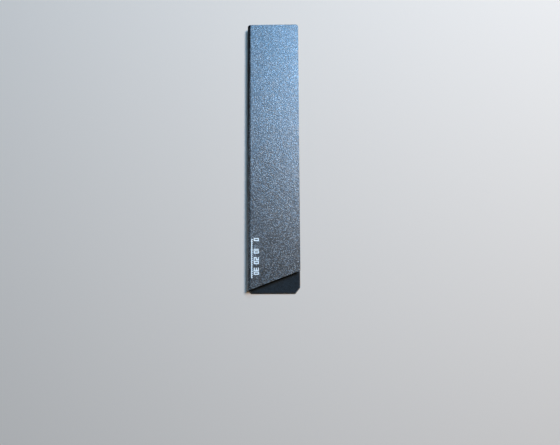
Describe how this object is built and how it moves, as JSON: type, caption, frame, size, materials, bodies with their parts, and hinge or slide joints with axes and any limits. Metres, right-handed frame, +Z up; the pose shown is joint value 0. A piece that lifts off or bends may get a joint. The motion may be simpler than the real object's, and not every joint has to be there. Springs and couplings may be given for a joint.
{
  "type": "knife blade guard",
  "caption": "Folded plastic sleeve with a felt lining that slides over a long kitchen knife's cutting edge, with a slanted mouth, a back tongue and a small printed rule.",
  "frame": {"origin": "on the back leaf's outer face, under the middle of the guard's box, as it lies on its back leaf", "axes": "+X across the guard, from the fold to the open side; +Y along it, from the mouth to the tip; +Z up through the leaves, from the back leaf to the front leaf"},
  "size_m": [0.0508, 0.2666, 0.0077],
  "materials": {
    "grained_sheet": "black ABS sheet with a fine grain that glints, slate grey in the light",
    "felt": "dense short black felt",
    "glue_film": "thin clear adhesive film, slightly yellow at its edge",
    "white_print": "screen-printed white ink, a little broken by the sheet's grain"
  },
  "bodies": {
    "back": {"back_leaf": "grained_sheet", "back_fold": "grained_sheet", "back_glue": "glue_film", "back_lining": "felt", "back_fold_lining": "felt"},
    "front": {"front_leaf": "grained_sheet", "front_fold": "grained_sheet", "front_glue": "glue_film", "front_lining": "felt", "front_fold_lining": "felt", "printed_rule": "white_print"}
  },
  "joints": [
    {"name": "leaf_open", "type": "hinge", "parent": "back", "child": "front", "pos_m": [-0.0254, 0, 0.00385], "axis": [0, -1, 0], "range_deg": [-4.5, 20], "stiffness_Nm_per_rad": 2}
  ]
}
